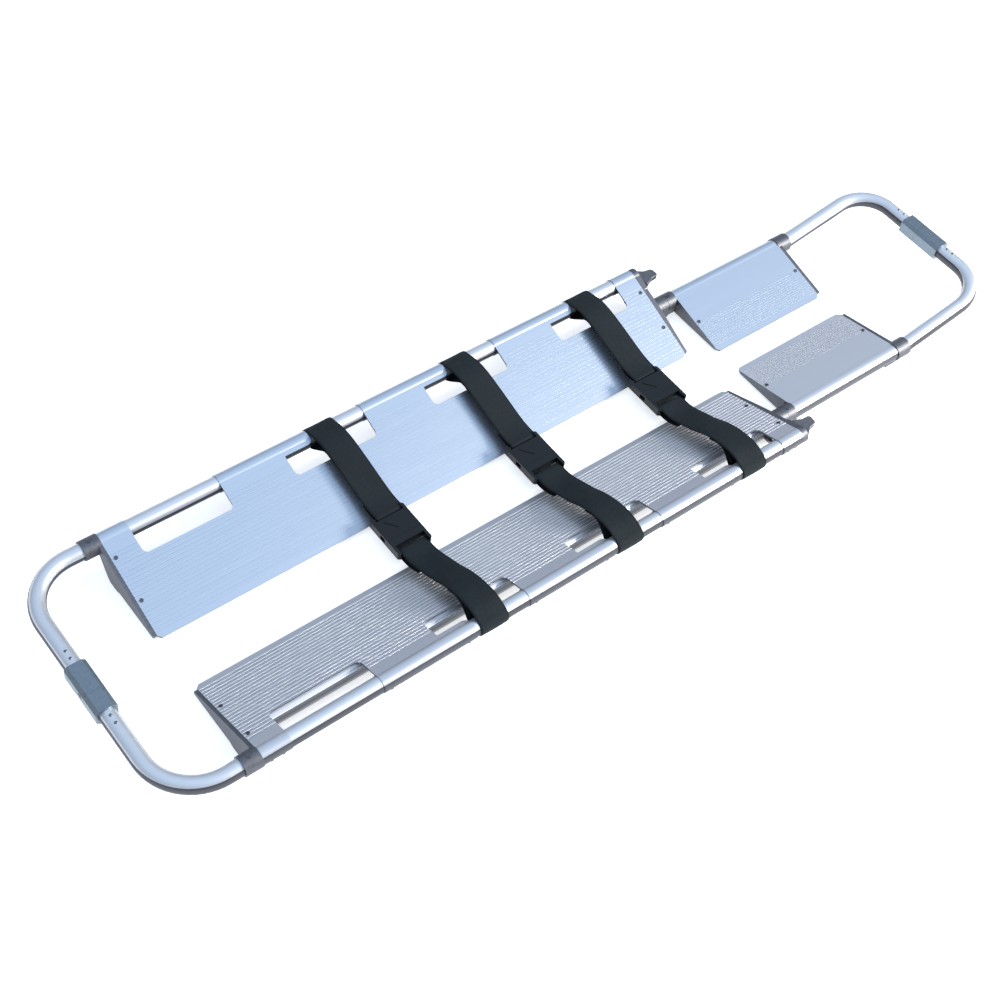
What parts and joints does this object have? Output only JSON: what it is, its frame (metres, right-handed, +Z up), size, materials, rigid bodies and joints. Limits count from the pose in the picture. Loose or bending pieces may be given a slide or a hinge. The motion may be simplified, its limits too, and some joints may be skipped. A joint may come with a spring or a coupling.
{
  "type": "folding scoop stretcher",
  "caption": "Scoop stretcher in two halves with locking end couplings, telescoping fold-under leg sections, ribbed blades and buckled straps.",
  "frame": {"origin": "on the floor, under the middle of the stretcher's outline", "axes": "+X from the head end to the foot end, +Y from the near half to the far half, +Z up"},
  "size_m": [1.652, 0.4302, 0.0732],
  "materials": {
    "panel": "mill-finish ribbed extrusion",
    "tube": "satin anodised",
    "casting": "tumbled casting",
    "coupling": "blue-grey coated casting",
    "button": "satin",
    "steel": "zinc plated",
    "rivet": "satin",
    "lever": "tumbled casting",
    "webbing": "woven polypropylene webbing",
    "buckle": "moulded acetal"
  },
  "bodies": {
    "near_main": {"near_frame_tube": "tube", "near_main_panel": "panel", "near_head_casting": "casting", "near_foot_casting": "casting", "near_guide_tube": "tube", "near_main_screws": "steel", "near_rail_rivets": "rivet", "near_head_rivets": "rivet", "near_strap_1": "webbing", "near_strap_2": "webbing", "near_strap_3": "webbing", "head_plug": "coupling"},
    "near_slide": {"near_slide_tube": "tube", "near_slide_fitting": "casting", "near_hinge_pin": "steel"},
    "near_leg": {"near_leg_head_casting": "casting", "near_leg_panel": "panel", "near_leg_tube": "tube", "near_leg_foot_casting": "casting", "near_leg_screws": "steel", "near_foot_rivets": "rivet", "foot_socket": "coupling"},
    "near_lever": {"near_lock_lever": "lever"},
    "near_pin": {"near_lock_pin": "steel"},
    "far_main": {"far_frame_tube": "tube", "far_main_panel": "panel", "far_head_casting": "casting", "far_foot_casting": "casting", "far_guide_tube": "tube", "far_main_screws": "steel", "far_rail_rivets": "rivet", "far_head_rivets": "rivet", "far_strap_1": "webbing", "far_strap_2": "webbing", "far_strap_3": "webbing", "head_socket": "coupling", "buckle_socket_1": "buckle", "buckle_socket_2": "buckle", "buckle_socket_3": "buckle"},
    "far_slide": {"far_slide_tube": "tube", "far_slide_fitting": "casting", "far_hinge_pin": "steel"},
    "far_leg": {"far_leg_head_casting": "casting", "far_leg_panel": "panel", "far_leg_tube": "tube", "far_leg_foot_casting": "casting", "far_leg_screws": "steel", "far_foot_rivets": "rivet", "foot_plug": "coupling"},
    "far_lever": {"far_lock_lever": "lever"},
    "far_pin": {"far_lock_pin": "steel"},
    "plug_1": {"buckle_plug_1": "buckle"},
    "plug_2": {"buckle_plug_2": "buckle"},
    "plug_3": {"buckle_plug_3": "buckle"},
    "head_button": {"head_button": "button"},
    "foot_button": {"foot_button": "button"}
  },
  "joints": [
    {"name": "part_halves", "type": "slide", "parent": "near_main", "child": "far_main", "axis": [0, 1, 0], "range_m": [0, 0.25]},
    {"name": "near_extend", "type": "slide", "parent": "near_main", "child": "near_slide", "axis": [1, 0, 0], "range_m": [0, 0.36]},
    {"name": "near_fold", "type": "hinge", "parent": "near_slide", "child": "near_leg", "pos_m": [0.3325, -0.14575, 0.0035], "axis": [0, 1, 0], "range_deg": [0, 180]},
    {"name": "near_lever_turn", "type": "hinge", "parent": "near_main", "child": "near_lever", "pos_m": [0.2915, -0.178, 0.0353], "axis": [0, 0, 1], "range_deg": [0, 18], "stiffness_Nm_per_rad": 0.3},
    {"name": "near_pin_pull", "type": "slide", "parent": "near_main", "child": "near_pin", "axis": [0, -1, 0], "range_m": [0, 0.0036]},
    {"name": "far_extend", "type": "slide", "parent": "far_main", "child": "far_slide", "axis": [1, 0, 0], "range_m": [0, 0.36]},
    {"name": "far_fold", "type": "hinge", "parent": "far_slide", "child": "far_leg", "pos_m": [0.3325, 0.14575, 0.0035], "axis": [0, 1, 0], "range_deg": [0, 180]},
    {"name": "far_lever_turn", "type": "hinge", "parent": "far_main", "child": "far_lever", "pos_m": [0.2915, 0.178, 0.0353], "axis": [0, 0, -1], "range_deg": [0, 18], "stiffness_Nm_per_rad": 0.3},
    {"name": "far_pin_pull", "type": "slide", "parent": "far_main", "child": "far_pin", "axis": [0, 1, 0], "range_m": [0, 0.0036]},
    {"name": "plug_1_pull", "type": "slide", "parent": "near_main", "child": "plug_1", "axis": [0, -1, 0], "range_m": [0, 0.016]},
    {"name": "plug_2_pull", "type": "slide", "parent": "near_main", "child": "plug_2", "axis": [0, -1, 0], "range_m": [0, 0.016]},
    {"name": "plug_3_pull", "type": "slide", "parent": "near_main", "child": "plug_3", "axis": [0, -1, 0], "range_m": [0, 0.016]},
    {"name": "head_press", "type": "slide", "parent": "far_main", "child": "head_button", "axis": [1, 0, 0], "range_m": [0, 0.0025], "stiffness_N_per_m": 400},
    {"name": "foot_press", "type": "slide", "parent": "near_leg", "child": "foot_button", "axis": [-1, 0, 0], "range_m": [0, 0.0025], "stiffness_N_per_m": 400}
  ],
  "couplings": [
    {"joint": "far_extend", "follows": "near_extend", "ratio": 1},
    {"joint": "far_fold", "follows": "near_fold", "ratio": 1},
    {"joint": "near_pin_pull", "follows": "near_lever_turn", "m_per_rad": 0.011},
    {"joint": "far_pin_pull", "follows": "far_lever_turn", "m_per_rad": 0.011}
  ]
}
